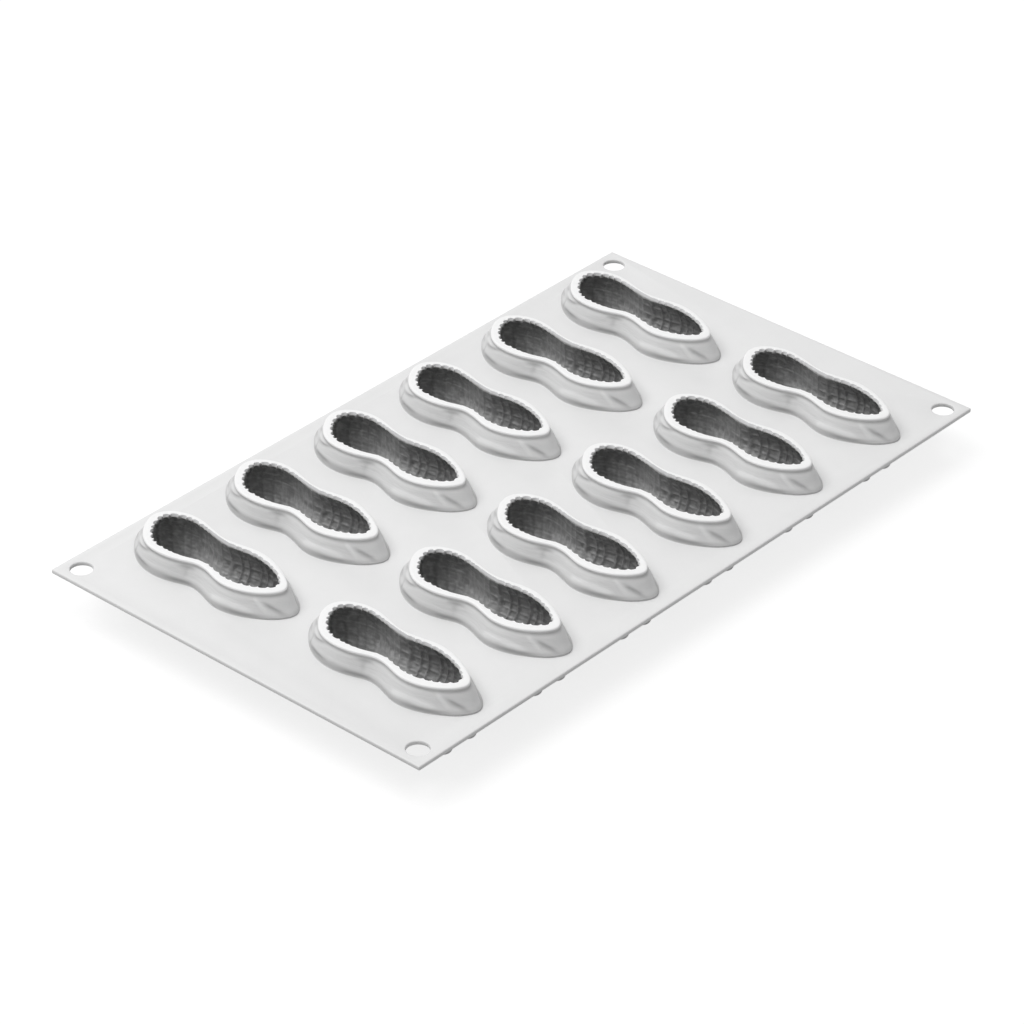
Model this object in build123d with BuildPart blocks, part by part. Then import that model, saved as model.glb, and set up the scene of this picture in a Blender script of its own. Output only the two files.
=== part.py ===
from build123d import *
import math
import os

# Silicone baking mould: a flat web that carries two rows of peanut-shaped cups, each with a
# raised rim above the web and a rounded bowl with four short feet below it.
# Origin: centre of the footprint, on the surface that the feet stand on. X runs along the long
# side of the web, Y along the short side, +Z up. All lengths are in millimetres.

# Web: its length and width come from the cups, the gaps between them and its own margins
sheet_thickness = 1.8
sheet_corner_radius = 2.0
sheet_end_margin = 21.15
sheet_side_margin = 6.35
corner_hole_diameter = 8.2
corner_hole_inset_x = 7.5
corner_hole_inset_y = 7.5

# Rows of cups, with the gap between neighbours side by side and between tip and tip
cups_per_row = 6
row_count = 2
cup_gap = 15.3
row_gap = 7.7

# Outside of a cup. It lies along Y: its slim lobe points to -Y, its round lobe to +Y, and its
# waist is at 0. It is round about a long axis that lies in the top face of the web, drifts
# sideways from tip to tip, and rises a little at the waist. A fuller tip is blunter.
slim_tip_along = 38.6
slim_lobe_along = 15.5
slim_lobe_radius = 14.4
slim_tip_fullness = 0.65
waist_radius = 11.7
round_lobe_along = 17.5
round_lobe_radius = 15.1
round_tip_along = 38.7
round_tip_fullness = 0.5
slim_tip_sideways = -0.3
waist_sideways = -0.3
round_tip_sideways = 2.6
waist_raise = 1.5

# Walls between a cup's outside and its cavity, round the cup and at its two tips
wall_thickness = 1.9
tip_wall = 2.6

# Heights of the rim above, and of the web's top face above the surface that the mould stands on
rim_height = 9.0
stand_height = 18.0

# Feet under each bowl
foot_diameter = 7.0
foot_chamfer = 0.8
foot_spread_across = 12.0
foot_spread_along = 54.6
foot_sides = 8

cup_width = 2 * round_lobe_radius
cup_length = slim_tip_along + round_tip_along
cup_pitch = cup_width + cup_gap
row_pitch = cup_length + row_gap
sheet_length = (cups_per_row - 1) * cup_pitch + cup_width + 2 * sheet_end_margin
sheet_width = (row_count - 1) * row_pitch + cup_length + 2 * sheet_side_margin
sheet_bottom = stand_height - sheet_thickness
rim_top = stand_height + rim_height

# Flat facets that stand for a cup's curved walls
section_sides = 16
tip_sections = 4
waist_sections = 2
last_tip_angle = 84.0


def radius_at(along, wall, end_wall):
    """Radius of the cup's outside, or of its cavity where the walls aren't 0."""
    if along < 0:
        tip, lobe, lobe_radius = slim_tip_along, slim_lobe_along, slim_lobe_radius
        fullness = slim_tip_fullness
    else:
        tip, lobe, lobe_radius = round_tip_along, round_lobe_along, round_lobe_radius
        fullness = round_tip_fullness
    distance = abs(along)
    if distance <= lobe:
        swell = (1 - math.cos(math.pi * distance / lobe)) / 2
        return waist_radius + (lobe_radius - waist_radius) * swell - wall
    share = (distance - lobe) / (tip - end_wall - lobe)
    return (lobe_radius - wall) * (1 - share**2) ** fullness


def axis_point(along):
    """Point of the cup's long axis, which drifts sideways and rises a little at the waist."""
    share = 2 * along / cup_length
    slope = (round_tip_sideways - slim_tip_sideways) / 2
    bow = (round_tip_sideways + slim_tip_sideways) / 2 - waist_sideways
    sideways = waist_sideways + slope * share + bow * share**2
    upwards = waist_raise * math.exp(-((2 * along / slim_lobe_along) ** 2))
    return Vector(sideways, along, stand_height + upwards)


def stations(end_wall):
    """Places along the cup of its sections, closest together where the tips curve in."""
    halves = []
    for tip, lobe in ((slim_tip_along, slim_lobe_along), (round_tip_along, round_lobe_along)):
        waist_part = [lobe * step / waist_sections for step in range(waist_sections)]
        tip_part = []
        for step in range(tip_sections + 1):
            angle = math.radians(last_tip_angle * step / tip_sections)
            tip_part.append(lobe + (tip - end_wall - lobe) * math.sin(angle))
        halves.append(waist_part + tip_part)
    slim_half, round_half = halves
    return [-along for along in reversed(slim_half[1:])] + round_half


def peanut_body(wall, end_wall):
    """Solid of flat facets between upright sections, which are all alike and face along Y."""
    rings = []
    for along in stations(end_wall):
        centre = axis_point(along)
        radius = radius_at(along, wall, end_wall)
        turns = [2 * math.pi * (side + 0.5) / section_sides for side in range(section_sides)]
        rings.append([centre + Vector(math.cos(t), 0, math.sin(t)) * radius for t in turns])
    facets = [Face(Wire.make_polygon(rings[0])), Face(Wire.make_polygon(rings[-1]))]
    for ring, next_ring in zip(rings, rings[1:]):
        for side in range(section_sides):
            corners = [ring[side - 1], ring[side], next_ring[side], next_ring[side - 1]]
            facets.append(Face(Wire.make_polygon(corners)))
    return Solid(Shell(facets))


# Outside of one whole peanut, at the origin
with BuildPart() as peanut:
    add(peanut_body(0, 0))

# One cup: the peanut with its cavity taken out and its top cut off level with the rim
with BuildPart() as cup:
    add(peanut.part)
    add(peanut_body(wall_thickness, tip_wall), mode=Mode.SUBTRACT)
    split(bisect_by=Plane.XY.offset(rim_top), keep=Keep.BOTTOM)

# Four stub feet, each run up into the bowl's underside and chamfered where it stands
with BuildPart() as cup_feet:
    with BuildSketch():
        with GridLocations(foot_spread_across, foot_spread_along, 2, 2):
            RegularPolygon(foot_diameter / 2, foot_sides)
    extrude(amount=stand_height)
    chamfer(cup_feet.edges().group_by(Axis.Z)[0], length=foot_chamfer)
    add(peanut.part, mode=Mode.SUBTRACT)

# Places of the cups, row by row from -Y, each row from -X
cup_places = GridLocations(cup_pitch, row_pitch, cups_per_row, row_count).locations
cup_places.sort(key=lambda place: (place.position.Y, place.position.X))

# Web: a flat plate with rounded corners, a hole near each corner and an opening for each cup
with BuildPart() as sheet:
    with BuildSketch(Plane.XY.offset(sheet_bottom)):
        RectangleRounded(sheet_length, sheet_width, sheet_corner_radius)
        with GridLocations(
            sheet_length - 2 * corner_hole_inset_x,
            sheet_width - 2 * corner_hole_inset_y,
            2,
            2,
        ):
            Circle(corner_hole_diameter / 2, mode=Mode.SUBTRACT)
    extrude(amount=sheet_thickness)
    with Locations(*cup_places):
        add(peanut.part, mode=Mode.SUBTRACT)


def write_piece(piece, name):
    """Name one finished piece and write it."""
    piece.part.label = name
    export_step(piece.part, f"parts/{name}.step")


os.makedirs("parts", exist_ok=True)
write_piece(sheet, "sheet")
for number, place in enumerate(cup_places, 1):
    with BuildPart() as placed_cup:
        with Locations(place):
            add(cup.part)
    write_piece(placed_cup, f"cup_{number:02d}")
    with BuildPart() as placed_feet:
        with Locations(place):
            add(cup_feet.part)
    write_piece(placed_feet, f"feet_{number:02d}")
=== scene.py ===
import math

import bmesh
import bpy
import numpy as np
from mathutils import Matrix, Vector


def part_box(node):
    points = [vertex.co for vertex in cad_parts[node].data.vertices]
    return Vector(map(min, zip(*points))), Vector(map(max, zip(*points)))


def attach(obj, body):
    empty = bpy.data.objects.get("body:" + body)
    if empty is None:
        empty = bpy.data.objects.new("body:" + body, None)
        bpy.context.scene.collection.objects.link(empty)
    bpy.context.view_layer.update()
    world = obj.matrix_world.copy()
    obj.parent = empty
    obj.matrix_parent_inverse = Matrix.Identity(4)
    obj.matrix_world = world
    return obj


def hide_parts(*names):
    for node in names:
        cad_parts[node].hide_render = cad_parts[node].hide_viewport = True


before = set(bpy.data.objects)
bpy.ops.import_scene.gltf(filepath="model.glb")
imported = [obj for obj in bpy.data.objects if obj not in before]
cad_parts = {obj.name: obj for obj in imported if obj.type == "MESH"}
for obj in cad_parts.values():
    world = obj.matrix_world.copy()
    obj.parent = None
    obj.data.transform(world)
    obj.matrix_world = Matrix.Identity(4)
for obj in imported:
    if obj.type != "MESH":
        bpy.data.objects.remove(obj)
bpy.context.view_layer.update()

mm = 0.001
hair = 1e-6                  # metres, within which two places are the same
columnDigits = 4             # decimals of a metre, by which columns of cups are told apart

# Silicone baking mould: a thin flexible sheet that carries two rows of peanut-shaped cups.
# The CAD nodes are plain faceted stand-ins for one soft moulding. They give the places, and
# each is replaced by a smooth piece that has the relief of the real one.


def selectNothing():
    if bpy.context.object and bpy.context.object.mode != "OBJECT":
        bpy.ops.object.mode_set(mode="OBJECT")
    bpy.ops.object.select_all(action="DESELECT")


def selectOnly(piece):
    selectNothing()
    piece.select_set(True)
    bpy.context.view_layer.objects.active = piece


def applyModifier(piece, kind, **settings):
    selectOnly(piece)
    modifier = piece.modifiers.new(kind.lower(), kind)
    for setting, value in settings.items():
        setattr(modifier, setting, value)
    bpy.ops.object.modifier_apply(modifier=modifier.name)


def settle(piece):
    selectOnly(piece)
    bpy.ops.object.transform_apply(location=True, rotation=True, scale=True)


# Camera, at the photograph's view
cameraSetup = {
    "place": (-1.0113, -0.8981, 0.8855),
    "aim": (-0.0155, -0.0080, 0.0180),
    "lens": 157.33,          # mm, on a sensor 36 mm wide
    "sight": 20,             # metres, as far as it sees
}


def addCamera():
    place, aim = Vector(cameraSetup["place"]), Vector(cameraSetup["aim"])
    bpy.ops.object.camera_add(location=place)
    camera = bpy.context.object
    camera.rotation_euler = (aim - place).to_track_quat("-Z", "Y").to_euler()
    camera.data.lens = cameraSetup["lens"]
    camera.data.clip_end = cameraSetup["sight"]
    bpy.context.scene.camera = camera


print("camera")
addCamera()


# Materials

def linearColour(hexColour):
    values = [int(hexColour[at:at + 2], 16) / 255 for at in (1, 3, 5)]
    return [v / 12.92 if v <= 0.04045 else ((v + 0.055) / 1.055) ** 2.4 for v in values] + [1]


def addNode(tree, kind, links=(), **settings):
    node = tree.nodes.new(kind)
    for name, value in settings.items():
        if name in node.inputs:
            node.inputs[name].default_value = value
        else:
            setattr(node, name, value)
    for source, target in links:
        tree.links.new(source, node.inputs[target])
    return node


def newMaterial(name):
    material = bpy.data.materials.new(name)
    material.use_nodes = True
    material.node_tree.nodes.clear()
    return material, material.node_tree


# Platinum-cured silicone rubber, moulded in a blasted steel tool: matte, even and faintly
# cloudy, with a grain too fine to catch the light. Inside the cups the colour is painted grey
# as painted shade of the hollows, and the outside of a cup carries painted shade too.
siliconeFinish = {
    "colour": "#e7e7e7",
    "cloudColour": "#e2e2e2",
    "cloudSize": 14.0,               # mm
    # Painted shade of a cup's outside: white on the rim, painted grey on the wall, darker painted
    # grey in creases
    "rimColour": "#f3f3f3",
    "wallShadeColour": "#d7d7d7",
    "wallStop": 0.3,                 # painted shade at which the wall's painted grey is full
    "creaseShadeColour": "#989898",
    "cavityShadeColour": "#a6a6a6",         # painted shade inside a cup
    "grooveShadeColour": "#7e7e7e",       # darker painted shade in the undercut and in the grooves of the net
    "patchColour": "#d2d2d2",        # lighter patches, at random, in that painted shade
    "patchSize": (1.8, 2.6, 1.8),    # mm
    "patchNoise": (0.46, 0.66),      # of the noise, where the patches start and are full
    "patchShare": 0.34,
    "grainSize": 0.9,                # mm, drawn coarser than the real one so that it shows
    "grainBump": 0.03,
    "streakSize": (3.0, 16.0, 1.6),  # mm across, along and up a cup's wall
    "streakBump": 0.20,
    "softDetail": 2.0,               # of the noise of clouds, patches and streaks
    "grainDetail": 3.0,
    "noiseRoughness": 0.55,
    "roughness": 0.48,
    "ior": 1.41,
}


def mouldedSilicone(name, streaked):
    # A streaked one also reads the painted shade that a cup's points hold
    material, tree = newMaterial(name)
    place = addNode(tree, "ShaderNodeTexCoord")

    def noiseOf(size, detail=siliconeFinish["softDetail"]):
        scaled = addNode(tree, "ShaderNodeMapping", [(place.outputs["Object"], "Vector")])
        scaled.inputs["Scale"].default_value = [1 / (s * mm) for s in size]
        return addNode(
            tree, "ShaderNodeTexNoise", [(scaled.outputs["Vector"], "Vector")],
            **{"Scale": 1.0, "Detail": detail, "Roughness": siliconeFinish["noiseRoughness"]},
        )

    cloud = noiseOf([siliconeFinish["cloudSize"]] * 3)
    body = addNode(tree, "ShaderNodeMix", [(cloud.outputs["Fac"], "Factor")], data_type="RGBA")
    body.inputs[6].default_value = linearColour(siliconeFinish["colour"])
    body.inputs[7].default_value = linearColour(siliconeFinish["cloudColour"])
    colour = body.outputs[2]
    grain = noiseOf([siliconeFinish["grainSize"]] * 3, siliconeFinish["grainDetail"])
    bump = addNode(
        tree, "ShaderNodeBump", [(grain.outputs["Fac"], "Height")],
        **{"Strength": siliconeFinish["grainBump"], "Distance": mm},
    )
    if streaked:
        # Outside of a cup: painted shade, from the rim's white through the wall's grey to darker grey
        # in creases
        outsideShade = addNode(tree, "ShaderNodeAttribute", attribute_name="wallShadeTone")
        wall = addNode(tree, "ShaderNodeValToRGB", [(outsideShade.outputs["Fac"], "Fac")])
        stops = wall.color_ramp.elements
        stops.new(siliconeFinish["wallStop"])
        for stop, tint in zip(stops, ("rimColour", "wallShadeColour", "creaseShadeColour")):
            stop.color = linearColour(siliconeFinish[tint])
        # Inside of a cup: painted grey shade, darker in the undercut and grooves, with lighter
        # patches at random
        shadeTone = addNode(tree, "ShaderNodeAttribute", attribute_name="cavityShadeTone")
        cavityShade = addNode(tree, "ShaderNodeMix", [(shadeTone.outputs["Fac"], "Factor")], data_type="RGBA")
        cavityShade.inputs[6].default_value = linearColour(siliconeFinish["cavityShadeColour"])
        cavityShade.inputs[7].default_value = linearColour(siliconeFinish["grooveShadeColour"])
        patch = noiseOf(siliconeFinish["patchSize"])
        start, full = siliconeFinish["patchNoise"]
        patches = addNode(
            tree, "ShaderNodeMapRange", [(patch.outputs["Fac"], "Value")],
            **{"From Min": start, "From Max": full, "To Max": siliconeFinish["patchShare"]},
        )
        mottled = addNode(
            tree, "ShaderNodeMix", [(patches.outputs["Result"], "Factor"), (cavityShade.outputs[2], 6)],
            data_type="RGBA",
        )
        mottled.inputs[7].default_value = linearColour(siliconeFinish["patchColour"])
        # Where the inside's painted shade takes the place of the outside's
        inside = addNode(tree, "ShaderNodeAttribute", attribute_name="cavityShadeMask")
        both = addNode(
            tree, "ShaderNodeMix",
            [(inside.outputs["Fac"], "Factor"), (wall.outputs["Color"], 6), (mottled.outputs[2], 7)],
            data_type="RGBA",
        )
        colour = both.outputs[2]
        streak = noiseOf(siliconeFinish["streakSize"])
        bump = addNode(
            tree, "ShaderNodeBump",
            [(streak.outputs["Fac"], "Height"), (bump.outputs["Normal"], "Normal")],
            **{"Strength": siliconeFinish["streakBump"], "Distance": mm},
        )
    shader = addNode(
        tree, "ShaderNodeBsdfPrincipled",
        [(colour, "Base Color"), (bump.outputs["Normal"], "Normal")],
        **{"Roughness": siliconeFinish["roughness"], "IOR": siliconeFinish["ior"]},
    )
    addNode(tree, "ShaderNodeOutputMaterial", [(shader.outputs["BSDF"], "Surface")])
    return material


print("materials")
webSilicone = mouldedSilicone("silicone_moulded_web", False)
cupSilicone = mouldedSilicone("silicone_moulded_cup", True)


# Cups. Each outline is measured at its own places along the cup. Half-widths are taken from
# the cup's axis line: near is towards -X and far towards +X. All are in millimetres.
cupShape = {
    "mouth": {
        "along": (-25, -15, -7, 0, 7, 16, 25),
        "near": (6.5, 9.1, 7.9, 7.1, 9.1, 10.1, 7.1),
        "far": (5.5, 8.6, 8.7, 7.8, 8.3, 10.0, 9.7),
        "slimTip": (-30.8, -0.5),
        "roundTip": (31.0, 3.5),
    },
    "rim": {
        "along": (-27, -16, -7.5, 0, 7.5, 17, 27),
        "near": (8.6, 11.8, 10.1, 9.1, 11.5, 12.6, 8.6),
        "far": (6.3, 10.4, 10.4, 9.0, 9.2, 11.5, 10.6),
        "slimTip": (-33.8, -0.5),
        "roundTip": (33.5, 3.0),
    },
    "base": {
        "along": (-30, -17, -8, 0, 8, 18, 30),
        "near": (10.6, 15.0, 13.4, 11.6, 13.7, 14.9, 10.1),
        "far": (8.6, 13.6, 13.0, 11.5, 11.6, 14.3, 12.2),
        "slimTip": (-38.6, -0.3),
        "roundTip": (38.7, 2.9),
    },
    "rimHeight": 9.0,
    "wall": 2.1,
    "lobeDepth": 14.8,       # outside of the bowl below the sheet's top face
    "waistDepth": 10.4,
    "waistReach": 8.5,       # along the cup, over which the bowl deepens from the waist
    "endFrom": 15.0,         # along the cup, past which the keel rises to the tips
    "endRise": 0.006,        # for each square millimetre past that
    "spineShare": 0.68,      # length of the bowl's keel line against its outline
    "around": 420,           # points of each outline
    "weld": 0.01,            # distance within which points are merged
}
# Rows of points up the outside of a cup, over its rim and down into it
cupRows = {
    "bowl": 14,
    "wall": 54,
    "rim": (0.35, 0.7, 0.94),  # each a share of the way from the row before it to the mouth
    "lip": 8,
    "upperCavity": 28,
    "lowerCavity": 46,
    "lastTurn": 4,           # degrees below level of the bowl's last row
    "firstTurn": 2,          # and of the lower cavity's first
}
# Outside of a cup from the sheet up: height, share of the way from base to rim, swell outwards
wallProfile = (
    (-0.10, 0.00, 0.35),
    (0.06, 0.00, 0.05),
    (0.40, 0.00, -0.06),
    (1.20, 0.01, 0.14),
    (2.00, 0.05, 0.24),
    (2.60, 0.11, 0.18),
    (3.60, 0.27, 0.03),
    (4.80, 0.47, 0.00),
    (6.00, 0.68, 0.00),
    (6.70, 0.81, -0.14),
    (7.25, 0.90, -0.34),
    (7.75, 0.955, -0.16),
    (8.20, 0.975, 0.02),
    (8.60, 0.99, 0.05),
    (8.88, 1.04, 0.00),
    (9.00, 1.16, 0.00),
)
# The wall stands steep up to a knee, and leans in above it
wallKnee = {
    "profileHeight": 2.3,
    "grooveHeight": 7.2,
    "along": (-38, -30, -25, -20, -12, -5, 0, 5, 10, 15, 20, 30, 38),
    "height": (0.9, 1.1, 1.6, 2.4, 2.1, 2.2, 1.9, 2.1, 2.7, 2.9, 2.7, 2.0, 1.4),
}
# Creases of the shell in a cup's wall: the place along and the height of both ends, the
# half-width and the depth. A ridge has a depth below 0. All of them run out near their ends.
creaseReach = 1.05
wallCreases = (
    ((-37.5, 1.2), (-33.0, 5.0), 0.8, 0.60),
    ((-33.5, 2.2), (-30.0, 7.0), 0.9, -0.25),
    ((-29.0, 2.2), (-20.0, 3.7), 0.9, -0.30),
    ((-20.0, 3.7), (-12.0, 3.2), 0.9, -0.30),
    ((-32.0, 0.8), (-18.0, 1.2), 0.8, 0.42),
    ((0.5, 6.1), (6.8, 6.2), 0.7, 0.42),
    ((3.9, 6.2), (3.3, 2.6), 1.1, 0.22),
    ((0.0, 1.0), (11.0, 1.1), 0.8, 0.45),
    ((20.5, 6.9), (31.0, 4.3), 0.6, 0.50),
    ((23.0, 7.2), (33.0, 5.9), 0.6, -0.22),
    ((18.5, 2.2), (28.5, 1.8), 0.9, 0.50),
    ((30.5, 4.3), (29.0, 1.4), 0.6, 0.30),
    ((33.0, 6.4), (37.5, 4.2), 0.6, 0.40),
    ((33.5, 3.2), (37.5, 1.8), 0.6, 0.35),
)


def cubicThrough(values, samples, closed):
    # Cubic curve through the values at 0, 1, 2 and so on, read at the samples
    values = np.asarray(values, float)
    count = len(values)
    matrix = np.zeros((count, count))
    right = np.zeros_like(values)
    for at in range(count):
        before, after = at - 1, (at + 1) % count
        if not closed and at in (0, count - 1):
            matrix[at, at] = 1
            continue
        matrix[at, before] += 1
        matrix[at, at] += 4
        matrix[at, after] += 1
        right[at] = 6 * (values[before] - 2 * values[at] + values[after])
    bend = np.linalg.solve(matrix, right)
    start = np.floor(samples).astype(int)
    if not closed:
        start = np.clip(start, 0, count - 2)
    share = (samples - start)[:, None]
    low, high = start % count, (start + 1) % count
    return (
        values[low] * (1 - share) + values[high] * share
        + ((1 - share) ** 3 - (1 - share)) * bend[low] / 6
        + (share ** 3 - share) * bend[high] / 6
    )


def outline(shape):
    # Closed outline as (across, along), from the slim tip up the near side and back
    points = [(shape["slimTip"][1], shape["slimTip"][0])]
    points += [(-across, along) for across, along in zip(shape["near"], shape["along"])]
    points += [(shape["roundTip"][1], shape["roundTip"][0])]
    points += [(across, along) for across, along in zip(shape["far"][::-1], shape["along"][::-1])]
    around = cupShape["around"]
    samples = np.arange(around) * len(points) / around
    return cubicThrough(points, samples, True)


def mirrorIndex(around):
    return (around - np.arange(around)) % around


def inwardFrom(ring):
    # Unit vectors that point into a closed outline
    tangent = np.roll(ring, -1, 0) - np.roll(ring, 1, 0)
    tangent /= np.linalg.norm(tangent, axis=1)[:, None]
    return np.stack([tangent[:, 1], -tangent[:, 0]], 1)


def spineOf(ring):
    # Keel line that the bowl closes on: the same point serves both sides of the outline
    other = mirrorIndex(len(ring))
    along = (ring[:, 1] + ring[other, 1]) / 2
    across = (ring[:, 0] + ring[other, 0]) / 2
    return np.stack([across, along * cupShape["spineShare"]], 1)


def depthAt(along):
    # Depth of the bowl's keel: even in the lobes, less at the waist and towards the tips
    past = np.clip(np.abs(along) - cupShape["endFrom"], 0, None)
    lobes = cupShape["lobeDepth"] - cupShape["endRise"] * past ** 2
    atWaist = np.exp(-((along / cupShape["waistReach"]) ** 2))
    return lobes - (cupShape["lobeDepth"] - cupShape["waistDepth"]) * atWaist


def ringAt(ring, level):
    # Points of an outline at one level, or each at a level of its own
    return np.column_stack([ring, np.broadcast_to(level, len(ring))])


def bowlRow(ring, spine, depth, angle):
    # Row of a bowl: 0 degrees is the outline, level, and 90 is the keel
    turn = math.radians(angle)
    return ringAt(spine + (ring - spine) * math.cos(turn), -depth * math.sin(turn))


def surfaceNormals(rows):
    aroundStep = np.roll(rows, -1, 1) - np.roll(rows, 1, 1)
    alongStep = np.gradient(rows, axis=0)
    normal = np.cross(aroundStep, alongStep)
    return normal / np.maximum(np.linalg.norm(normal, axis=2, keepdims=True), 1e-9)


# Net inside a cup. Lengthwise lines lie at steps of turn round the cup's long axis. Cross
# lines run from the mouth to the keel, with a pitch that changes along the cup.
cavityNet = {
    "lipHeight": 1.25,       # steep band right under the mouth
    "lipDraft": 0.35,
    "topTurn": -42.0,        # under that band; 0 is level and 90 is straight down
    "floorTurns": (65.0, 85.0),  # over which the net runs out to the keel
    "lineTurns": (-20.0, 0.0, 18.0, 36.0, 54.0, 72.0),
    "lineHalfWidth": 0.52,
    "lineDepth": 0.36,
    "unevenness": 0.16,      # of the cross lines, in pitches
    "unevenWave": (0.3, 0.7),  # its turn for each millimetre across and along
    "radius": 12.0,
    "along": (-38, -3, 3, 6, 15, 18, 38),
    "pitch": (3.5, 3.5, 3.5, 2.4, 2.7, 3.2, 3.2),
    "crossDepth": (0.60, 0.60, 0.45, 0.16, 0.16, 0.32, 0.38),
    "edgeDepth": (0.70, 0.50, 0.0, 0.0, 0.45, 0.85, 1.00),
    "lineShare": (1.0, 1.0, 0.8, 0.3, 0.3, 0.5, 0.6),
    "edgeTurn": 9.0,         # over which a tooth of the mouth's edge runs out
    "stripHeight": (1.2, 1.5, 2.0, 2.0, 1.6, 1.3, 1.2),  # of the white above the painted grey shade
    "stripNotch": 0.9,       # share of it that a tooth's gap takes away
    "cavityShadeFade": 0.35,
    # Painted shade inside a cup: by place along it, more in the undercut above the level line and in
    # the cross grooves
    "shadeTone": (0.62, 0.55, 0.35, 0.05, 0.05, 0.40, 0.60),
    "undercutShade": 0.25,
    "upperFade": 15.0,       # turn over which that comes in above the level line
    "grooveShade": 0.40,
    "fullGroove": 0.65,      # depth at which that is full
    "fineLinePitch": 1.4,
    "fineLineDepth": (0.0, 0.0, 0.0, 0.02, 0.02, 0.06, 0.07),
}
# Row of small beads low in the waist
cavityBeads = {"along": (-1.0, 19.0), "turn": (2.0, 30.0), "pitch": 2.8, "height": 0.65}


def cavityRelief(mouth, turns, levels):
    # How far the net is pressed into the wall, where the painted grey shade is, and how dark that
    # painted shade is
    def byPlace(name):
        return np.interp(mouth[:, 1], cavityNet["along"], cavityNet[name])

    step = np.linalg.norm(np.roll(mouth, -1, 0) - mouth, axis=1)
    pitch = byPlace("pitch")
    half = len(mouth) // 2
    phase = np.cumsum(step / pitch)
    phase[:half] -= phase[0]
    phase[half:] = phase[-1] - phase[half:]
    phase += cavityNet["unevenness"] * np.sin(mouth @ cavityNet["unevenWave"])
    width = cavityNet["lineHalfWidth"]
    cross = np.exp(-((np.abs(phase - np.round(phase)) * pitch / width) ** 2))
    turn = np.array(turns)[:, None]
    sweep = np.radians(turn) * cavityNet["radius"]
    toLine = np.min([
        np.abs(sweep - math.radians(line) * cavityNet["radius"]) for line in cavityNet["lineTurns"]
    ], axis=0)
    line = np.exp(-((toLine / width) ** 2)) * byPlace("lineShare")
    inner = np.clip((turn - cavityNet["topTurn"]) / cavityNet["edgeTurn"], 0, 1)
    fadeStart, fadeEnd = cavityNet["floorTurns"]
    fade = np.clip((fadeEnd - turn) / (fadeEnd - fadeStart), 0, 1)
    depth = (byPlace("edgeDepth") * (1 - inner) + byPlace("crossDepth") * inner) * cross
    depth = np.maximum(depth, cavityNet["lineDepth"] * line * inner)
    fine = np.cos(2 * math.pi * sweep / cavityNet["fineLinePitch"])
    depth = (depth + byPlace("fineLineDepth") * fine * inner) * fade
    run = np.cumsum(step)
    (first, last), (low, high) = cavityBeads["along"], cavityBeads["turn"]
    amid = (mouth[:, 1] > first) & (mouth[:, 1] < last) & (turn > low) & (turn < high)
    bead = np.sin(math.pi * run / cavityBeads["pitch"]) ** 2
    bead = bead * np.sin(math.pi * np.clip((turn - low) / (high - low), 0, 1)) ** 2
    depth -= np.where(amid, cavityBeads["height"] * bead, 0)
    notch = cross * byPlace("edgeDepth") / max(cavityNet["edgeDepth"])
    strip = byPlace("stripHeight") * (1 - cavityNet["stripNotch"] * notch)
    below = cupShape["rimHeight"] - np.array(levels)[:, None]
    cavityShade = np.clip((below - strip) / cavityNet["cavityShadeFade"], 0, 1)
    shadeTone = byPlace("shadeTone") + cavityNet["undercutShade"] * np.clip(-turn / cavityNet["upperFade"], 0, 1)
    shadeTone = shadeTone + cavityNet["grooveShade"] * cross * byPlace("crossDepth") / cavityNet["fullGroove"]
    return depth, cavityShade, np.clip(shadeTone, 0, 1)


def cavityRows(mouth, base):
    # Inside of a cup from the mouth down to the keel, with the net pressed in, and its painted shade
    height = cupShape["rimHeight"]
    cavity = base + inwardFrom(base) * cupShape["wall"]
    topTurn = math.radians(-cavityNet["topTurn"])
    draft = inwardFrom(mouth) * cavityNet["lipDraft"]
    lipBottom = height - cavityNet["lipHeight"]
    rows, turns, levels = [], [], []
    for level in np.linspace(height, lipBottom, cupRows["lip"] + 1)[:-1]:
        rows.append(ringAt(mouth + draft * (height - level) / cavityNet["lipHeight"], level))
        turns.append(cavityNet["topTurn"])
        levels.append(level)
    for level in np.linspace(lipBottom, 0, cupRows["upperCavity"]):
        turn = math.asin(math.sin(topTurn) * level / lipBottom)
        share = (1 - math.cos(turn)) / (1 - math.cos(topTurn))
        rows.append(ringAt(cavity + (mouth + draft - cavity) * share, level))
        turns.append(-math.degrees(turn))
        levels.append(level)
    spine = spineOf(cavity)
    depth = depthAt(spine[:, 1]) - cupShape["wall"]
    for angle in np.linspace(cupRows["firstTurn"], 90, cupRows["lowerCavity"]):
        rows.append(bowlRow(cavity, spine, depth, angle))
        turns.append(angle)
        levels.append(-cupShape["lobeDepth"] * math.sin(math.radians(angle)))
    rows = np.array(rows)
    relief, cavityShade, shadeTone = cavityRelief(mouth, turns, levels)
    inward = surfaceNormals(rows)
    inward[0, :, 2] = 0      # the mouth's edge stays level
    return rows - inward * relief[:, :, None], cavityShade, shadeTone


# Painted shade of a cup's outside, from 0 for the white of the rim to 1 for the painted grey of a
# crease
# The wall is painted grey as painted shade: darker at the foot, in the groove under the rim and in
# creases, lighter on ridges as painted highlight
wallShadeTones = {
    "wall": 0.32,
    "foot": 0.54,
    "footFade": 1.0,         # mm above the knee, over which the foot's tone runs out
    "groove": 0.28,
    "grooveRise": 0.15,      # mm by which its darkest line lies above the groove's height
    "grooveWidth": 0.55,
    "creaseShade": 0.36,
    "creaseDepth": 0.5,      # at which a crease is darkest
    "ridgeLight": -0.3,           # the least share of that painted shade; below 0, a ridge gets a painted highlight
    "rimBand": 0.5,          # mm of white below the rim's top
    "rimFade": 0.4,
}


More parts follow.
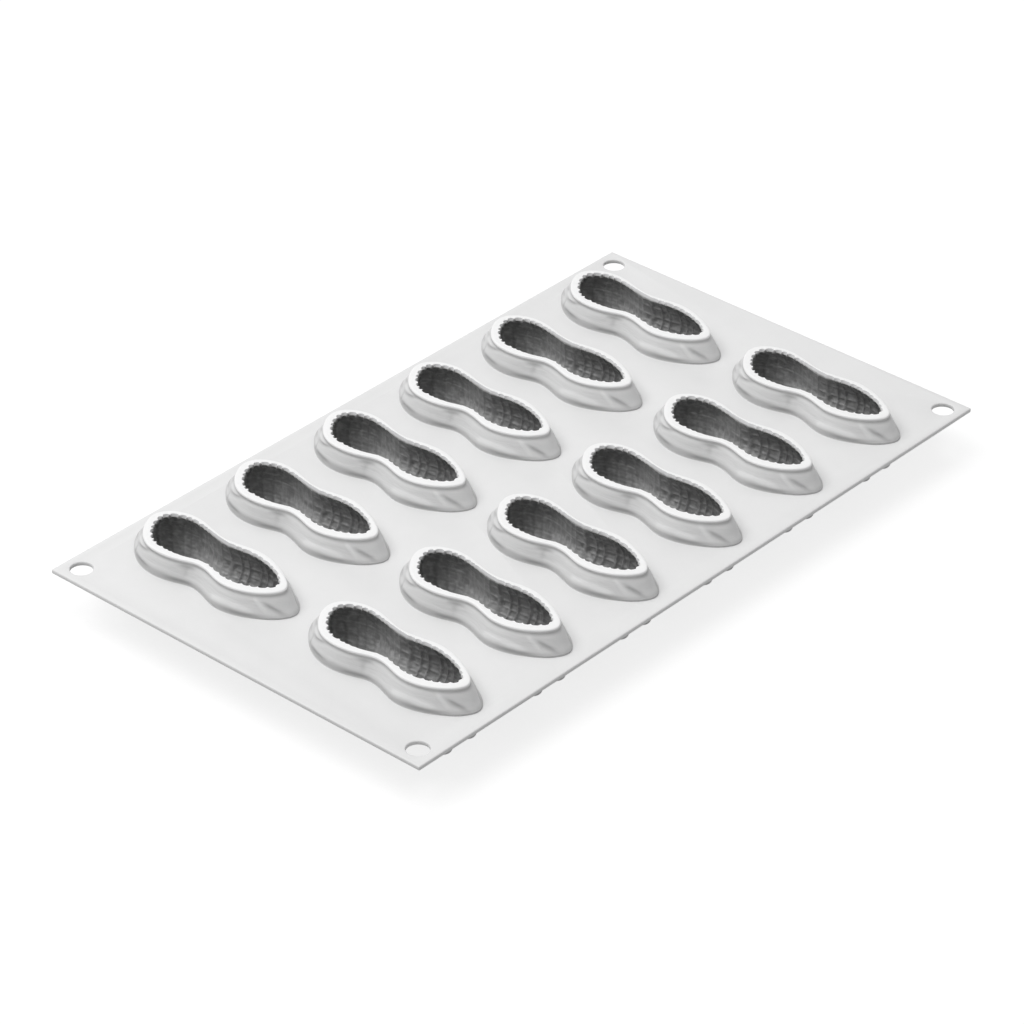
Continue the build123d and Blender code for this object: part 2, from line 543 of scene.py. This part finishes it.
def creasedWall(base, levels):
    # How far the wall's creases and ridges stand out, at each level round the cup
    step = np.linalg.norm(np.roll(base, -1, 0) - base, axis=1)
    half = len(base) // 2
    run = np.cumsum(step) - step[0]
    run[half:] = run[-1] + step[0] - run[half:]
    alongNear, runNear = base[:half, 1], run[:half]
    swell = np.zeros(levels.shape)
    for start, end, width, depth in wallCreases:
        first = np.array([np.interp(start[0], alongNear, runNear), start[1]])
        whole = np.array([np.interp(end[0], alongNear, runNear), end[1]]) - first
        place = np.stack([np.broadcast_to(run, levels.shape), levels], 2) - first
        share = place @ whole / (whole @ whole)
        away = np.linalg.norm(place - share[:, :, None] * whole, axis=2)
        runOut = np.abs(creaseReach * (2 * share - 1)) ** 3
        swell -= depth * np.exp(-((away / width) ** 2) - runOut)
    return swell


def kneedLevel(level, knee):
    # Heights of the wall's profile, drawn out so that its knee lies where the cup has it
    low, groove = wallKnee["profileHeight"], wallKnee["grooveHeight"]
    steep = np.where(level < 0, level, level * knee / low)
    leaning = knee + (level - low) * (groove - knee) / (groove - low)
    return np.where(level < low, steep, np.where(level < groove, leaning, level))


def outsidePaintedShade(level, knee, creases):
    # Painted shade: darker towards the foot, in the groove under the rim and in creases, lighter on
    # ridges, white on the rim's top
    foot = (knee + wallShadeTones["footFade"] - level) / wallShadeTones["footFade"]
    shadeTone = wallShadeTones["wall"] + (wallShadeTones["foot"] - wallShadeTones["wall"]) * np.clip(foot, 0, 1)
    groove = (level - wallKnee["grooveHeight"] - wallShadeTones["grooveRise"]) / wallShadeTones["grooveWidth"]
    shadeTone += wallShadeTones["groove"] * np.exp(-(groove ** 2))
    shadeTone += wallShadeTones["creaseShade"] * np.clip(-creases / wallShadeTones["creaseDepth"], wallShadeTones["ridgeLight"], 1)
    band = (cupShape["rimHeight"] - wallShadeTones["rimBand"] - level) / wallShadeTones["rimFade"]
    return np.clip(shadeTone * np.clip(band, 0, 1), 0, 1)


def outsideRows(mouth, rim, base):
    # Outside of a cup from the keel up to the rim and across it to the mouth, and its painted shade
    spine = spineOf(base)
    depth = depthAt(spine[:, 1])
    angles = np.linspace(90, cupRows["lastTurn"], cupRows["bowl"])
    bowl = [bowlRow(base, spine, depth, angle) for angle in angles]
    profile = np.array(wallProfile)
    samples = np.linspace(0, len(profile) - 1, cupRows["wall"])
    level, share, swell = cubicThrough(profile, samples, False).T[:, :, None]
    knee = np.interp(base[:, 1], wallKnee["along"], wallKnee["height"])
    level = kneedLevel(level, knee)
    creases = creasedWall(base, level)
    swell = swell + creases
    wall = base + (rim - base) * share[:, :, None] - inwardFrom(base) * swell[:, :, None]
    wall = np.concatenate([wall, level[:, :, None]], 2)
    top, edge = [], wall[-1, :, :2]
    for part in cupRows["rim"]:
        edge = edge * (1 - part) + mouth * part
        top.append(ringAt(edge, cupShape["rimHeight"]))
    paintedShades = [
        np.full((len(bowl), len(base)), wallShadeTones["wall"]),
        outsidePaintedShade(level, knee, creases),
        np.zeros((len(top), len(base))),
    ]
    return np.concatenate([bowl, wall, top]), np.concatenate(paintedShades)


def cupSurface():
    # Rows of a cup's points, and the painted shade that its material reads at each of them
    mouth, rim, base = (outline(cupShape[name]) for name in ("mouth", "rim", "base"))
    inside, cavityShade, cavityShadeTone = cavityRows(mouth, base)
    outside, wallShadeTone = outsideRows(inside[0, :, :2], rim, base)
    none = np.zeros_like(wallShadeTone)
    return np.concatenate([outside, inside]), {
        "wallShadeTone": np.concatenate([wallShadeTone, np.zeros_like(cavityShade)]),
        "cavityShadeMask": np.concatenate([none, cavityShade]),
        "cavityShadeTone": np.concatenate([none, cavityShadeTone]),
    }


def modelCup():
    # A flat grid with a column for each point of the outlines, moved onto the cup's surface
    rows, paintedShades = cupSurface()
    levels, around = rows.shape[:2]
    selectNothing()
    bpy.ops.mesh.primitive_grid_add(x_subdivisions=around, y_subdivisions=levels - 1, size=1)
    cup = bpy.context.object
    mesh = cup.data
    place = np.zeros(len(mesh.vertices) * 3)
    mesh.vertices.foreach_get("co", place)
    place = place.reshape(-1, 3)
    column = np.round((place[:, 0] + 0.5) * around).astype(int) % around
    row = np.round((place[:, 1] + 0.5) * (levels - 1)).astype(int)
    mesh.vertices.foreach_set("co", (rows[row, column] * mm).ravel())
    for name, values in paintedShades.items():
        shade = mesh.attributes.new(name, "FLOAT", "POINT")
        shade.data.foreach_set("value", values[row, column])
    mesh.materials.append(cupSilicone)
    mesh.update()
    selectOnly(cup)
    bpy.ops.object.mode_set(mode="EDIT")
    bpy.ops.mesh.select_all(action="SELECT")
    bpy.ops.mesh.remove_doubles(threshold=cupShape["weld"] * mm)
    bpy.ops.mesh.normals_make_consistent(inside=False)
    bpy.ops.object.mode_set(mode="OBJECT")
    bpy.ops.object.shade_smooth()
    return cup


def cupPlaces():
    # Waist point of each cup in the sheet's top face. The columns of cups stand evenly about
    # the origin, so their mean is how far the middle of a cup's box lies sideways of its waist
    # point. Along the cup that is half of what the round tip reaches further than the slim one
    numbers = sorted(name.split("_")[1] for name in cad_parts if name.startswith("cup_"))
    boxes = {number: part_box(f"cup_{number}") for number in numbers}
    columns = sorted({round((low.x + high.x) / 2, columnDigits) for low, high in boxes.values()})
    sideways = sum(columns) / len(columns)
    lengthwise = (cupShape["base"]["roundTip"][0] + cupShape["base"]["slimTip"][0]) / 2 * mm
    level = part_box("sheet")[1].z
    return {
        number: Vector(((low.x + high.x) / 2 - sideways, (low.y + high.y) / 2 - lengthwise, level))
        for number, (low, high) in boxes.items()
    }


print("cups")
cup = modelCup()
places = cupPlaces()
print("cup triangles", sum(len(f.vertices) - 2 for f in cup.data.polygons))
for number, place in places.items():
    copy = bpy.data.objects.new(f"peanut_cup_{number}", cup.data.copy())
    bpy.context.collection.objects.link(copy)
    copy.location = place
    settle(copy)
    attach(copy, "root")
    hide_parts(f"cup_{number}")
bpy.data.objects.remove(cup)


# Sheet
sheetShape = {
    "cornerRadius": 2.0,
    "cornerSegments": 8,
    "edgeRounding": 0.55,
    "edgeSegments": 3,
    "roundedAngle": 60,      # degrees, past which an edge is rounded
    "smoothAngle": 40,
    "holeRadius": 4.1,
    "holeSides": 64,
    "holeInset": 7.5,
    "openingStep": 4,        # every fourth point of a cup's outline
    "cutterReach": 4.0,      # height of the cutters, in thicknesses of the sheet
}


def modelSheet():
    low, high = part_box("sheet")
    size, centre = high - low, (high + low) / 2
    selectNothing()
    bpy.ops.mesh.primitive_cube_add(size=1, location=centre)
    sheet = bpy.context.object
    sheet.name = "mould_sheet"
    sheet.scale = size
    settle(sheet)
    bpy.ops.object.mode_set(mode="EDIT")
    bpy.ops.mesh.select_all(action="DESELECT")
    edges = bmesh.from_edit_mesh(sheet.data)
    for edge in edges.edges:
        run = edge.verts[0].co - edge.verts[1].co
        edge.select = abs(run.x) + abs(run.y) < hair and abs(run.z) > hair
    bmesh.update_edit_mesh(sheet.data)
    bpy.ops.mesh.bevel(
        offset=sheetShape["cornerRadius"] * mm, segments=sheetShape["cornerSegments"], affect="EDGES"
    )
    bpy.ops.object.mode_set(mode="OBJECT")
    cutters = []
    reach = sheetShape["cutterReach"] * size.z
    inset = sheetShape["holeInset"] * mm
    for x in (low.x + inset, high.x - inset):
        for y in (low.y + inset, high.y - inset):
            selectNothing()
            bpy.ops.mesh.primitive_cylinder_add(
                vertices=sheetShape["holeSides"], radius=sheetShape["holeRadius"] * mm,
                depth=reach, location=(x, y, centre.z),
            )
            cutters.append(bpy.context.object)
    base = outline(cupShape["base"])
    ring = base + inwardFrom(base) * cupShape["wall"] / 2    # the middle of the cup's wall
    corners = ring[::sheetShape["openingStep"]]
    for place in places.values():
        selectNothing()
        bpy.ops.mesh.primitive_circle_add(vertices=len(corners), radius=1, fill_type="NGON")
        cutter = bpy.context.object
        flat = np.column_stack([corners * mm, np.zeros(len(corners))])
        flat += np.array([place.x, place.y, centre.z - reach / 2])
        cutter.data.vertices.foreach_set("co", flat.ravel())
        bpy.ops.object.mode_set(mode="EDIT")
        bpy.ops.mesh.select_all(action="SELECT")
        bpy.ops.mesh.extrude_region_move(TRANSFORM_OT_translate={"value": (0, 0, reach)})
        bpy.ops.mesh.select_all(action="SELECT")
        bpy.ops.mesh.normals_make_consistent(inside=False)
        bpy.ops.object.mode_set(mode="OBJECT")
        cutters.append(cutter)
    selectNothing()
    for cutter in cutters:
        cutter.select_set(True)
    bpy.context.view_layer.objects.active = cutters[0]
    bpy.ops.object.join()
    cutter = bpy.context.object
    applyModifier(sheet, "BOOLEAN", object=cutter, operation="DIFFERENCE", solver="EXACT")
    bpy.data.objects.remove(cutter)
    applyModifier(
        sheet, "BEVEL", width=sheetShape["edgeRounding"] * mm, segments=sheetShape["edgeSegments"],
        limit_method="ANGLE", angle_limit=math.radians(sheetShape["roundedAngle"]),
    )
    selectOnly(sheet)
    bpy.ops.object.shade_smooth_by_angle(angle=math.radians(sheetShape["smoothAngle"]))
    sheet.data.materials.clear()
    sheet.data.materials.append(webSilicone)
    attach(sheet, "root")
    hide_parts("sheet")


print("sheet")
modelSheet()

# Feet
footShape = {
    "radius": 3.5,
    "sides": 48,
    "rounding": 0.9,
    "roundingSegments": 6,
    "across": 6.0,
    "along": 27.3,
    "rings": 4,              # of the top, which follows the bowl
    "bowlRows": 90,          # of the bowl, that the top looks for its place in
    "sunk": 0.5,             # into the bowl's wall
    "smoothAngle": 50,       # degrees
}


def bowlUnderside():
    # Points of the outside of a cup below the sheet's top face
    base = outline(cupShape["base"])
    spine = spineOf(base)
    depth = depthAt(spine[:, 1])
    angles = np.linspace(90, 0, footShape["bowlRows"])
    return np.concatenate([bowlRow(base, spine, depth, angle) for angle in angles])


def modelFoot(across, along, standHeight):
    # One foot: a stub with a rounded end, whose top is let up into the bowl above it
    selectNothing()
    bpy.ops.mesh.primitive_cylinder_add(
        vertices=footShape["sides"], radius=footShape["radius"] * mm, depth=standHeight,
        location=(across * mm, along * mm, -standHeight / 2),
    )
    foot = bpy.context.object
    settle(foot)
    bpy.ops.object.mode_set(mode="EDIT")
    bpy.ops.mesh.select_all(action="DESELECT")
    edges = bmesh.from_edit_mesh(foot.data)
    for edge in edges.edges:
        edge.select = all(corner.co.z < -standHeight + hair for corner in edge.verts)
    bmesh.update_edit_mesh(foot.data)
    bpy.ops.mesh.bevel(
        offset=footShape["rounding"] * mm, segments=footShape["roundingSegments"], affect="EDGES"
    )
    bpy.ops.mesh.select_all(action="DESELECT")
    bpy.ops.mesh.select_mode(type="FACE")
    faces = bmesh.from_edit_mesh(foot.data)
    for face in faces.faces:
        face.select = face.normal.z > 0.9    # the top alone
    bmesh.update_edit_mesh(foot.data)
    ring = footShape["radius"] / footShape["rings"] * mm
    for _ in range(footShape["rings"] - 1):
        bpy.ops.mesh.inset(thickness=ring)
    bpy.ops.object.mode_set(mode="OBJECT")
    underside = bowlUnderside()
    for corner in foot.data.vertices:
        if corner.co.z > -hair:
            away = underside[:, :2] - np.array(corner.co[:2]) / mm
            nearest = underside[np.argmin((away ** 2).sum(1))]
            corner.co.z = (nearest[2] + footShape["sunk"]) * mm
    selectOnly(foot)
    bpy.ops.object.shade_smooth_by_angle(angle=math.radians(footShape["smoothAngle"]))
    return foot


print("feet")
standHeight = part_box("sheet")[1].z
feetOfCup = [
    modelFoot(across, along, standHeight)
    for across in (-footShape["across"], footShape["across"])
    for along in (-footShape["along"], footShape["along"])
]
for number, place in places.items():
    selectNothing()
    for foot in feetOfCup:
        copy = bpy.data.objects.new("foot", foot.data.copy())
        bpy.context.collection.objects.link(copy)
        copy.location = place
        copy.select_set(True)
        bpy.context.view_layer.objects.active = copy
    bpy.ops.object.join()
    feet = bpy.context.object
    settle(feet)
    feet.name = f"cup_feet_{number}"
    feet.data.materials.clear()
    feet.data.materials.append(webSilicone)
    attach(feet, "root")
    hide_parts(f"feet_{number}")
for foot in feetOfCup:
    bpy.data.objects.remove(foot)


# Floor and light
studio = {
    "floorSize": 8.0,        # metres, as the lamp's sizes are
    "floorLevel": -0.00005,  # just clear of the feet's ends
    "floorColour": "#b4b4b4",
    "floorSeenColour": "#8a8a8a",  # what the camera sees, with the glow, is white in full light
    "floorGlow": 0.80,
    "worldStrength": 0.40,
    "lampPower": 36.0,
    "lampSize": 1.8,
    "lampPlace": (-0.50, 0.60, 2.0),
}


def seenRays(tree):
    # 1 for the rays that see the floor and the world as a white backdrop
    path = addNode(tree, "ShaderNodeLightPath")
    seen = path.outputs["Is Camera Ray"]
    for ray in ("Is Glossy Ray", "Is Transmission Ray"):
        either = addNode(
            tree, "ShaderNodeMath", [(seen, 0), (path.outputs[ray], 1)], operation="MAXIMUM"
        )
        seen = either.outputs["Value"]
    return seen


def addFloor():
    selectNothing()
    bpy.ops.mesh.primitive_plane_add(size=studio["floorSize"], location=(0, 0, studio["floorLevel"]))
    floor = bpy.context.object
    floor.name = "studio_floor"
    material, tree = newMaterial("white_paper_floor")
    diffuse = addNode(tree, "ShaderNodeBsdfDiffuse", **{"Color": linearColour(studio["floorColour"])})
    pale = addNode(
        tree, "ShaderNodeBsdfDiffuse", **{"Color": linearColour(studio["floorSeenColour"])}
    )
    glow = addNode(tree, "ShaderNodeEmission", **{"Strength": studio["floorGlow"]})
    both = addNode(
        tree, "ShaderNodeAddShader", [(pale.outputs["BSDF"], 0), (glow.outputs["Emission"], 1)]
    )
    mixed = addNode(
        tree, "ShaderNodeMixShader",
        [(seenRays(tree), 0), (diffuse.outputs["BSDF"], 1), (both.outputs["Shader"], 2)],
    )
    # From below the floor is clear, so that the bowls and feet can be looked at
    side = addNode(tree, "ShaderNodeNewGeometry")
    clear = addNode(tree, "ShaderNodeBsdfTransparent")
    oneSided = addNode(
        tree, "ShaderNodeMixShader",
        [(side.outputs["Backfacing"], 0), (mixed.outputs["Shader"], 1), (clear.outputs["BSDF"], 2)],
    )
    addNode(tree, "ShaderNodeOutputMaterial", [(oneSided.outputs["Shader"], "Surface")])
    floor.data.materials.append(material)


def addLight():
    world = bpy.data.worlds.new("studio")
    bpy.context.scene.world = world
    world.use_nodes = True
    background = world.node_tree.nodes["Background"]
    background.inputs["Color"].default_value = (1, 1, 1, 1)
    strength = addNode(
        world.node_tree, "ShaderNodeMath", [(seenRays(world.node_tree), 0)], operation="MULTIPLY_ADD"
    )
    strength.inputs[1].default_value = 1 - studio["worldStrength"]
    strength.inputs[2].default_value = studio["worldStrength"]
    world.node_tree.links.new(strength.outputs["Value"], background.inputs["Strength"])
    place = Vector(studio["lampPlace"])
    bpy.ops.object.light_add(type="AREA", location=place)
    lamp = bpy.context.object
    lamp.rotation_euler = (-place).to_track_quat("-Z", "Y").to_euler()
    lamp.data.size = studio["lampSize"]
    lamp.data.energy = studio["lampPower"]


print("floor and light")
addFloor()
addLight()
bpy.context.scene.view_settings.view_transform = "Standard"
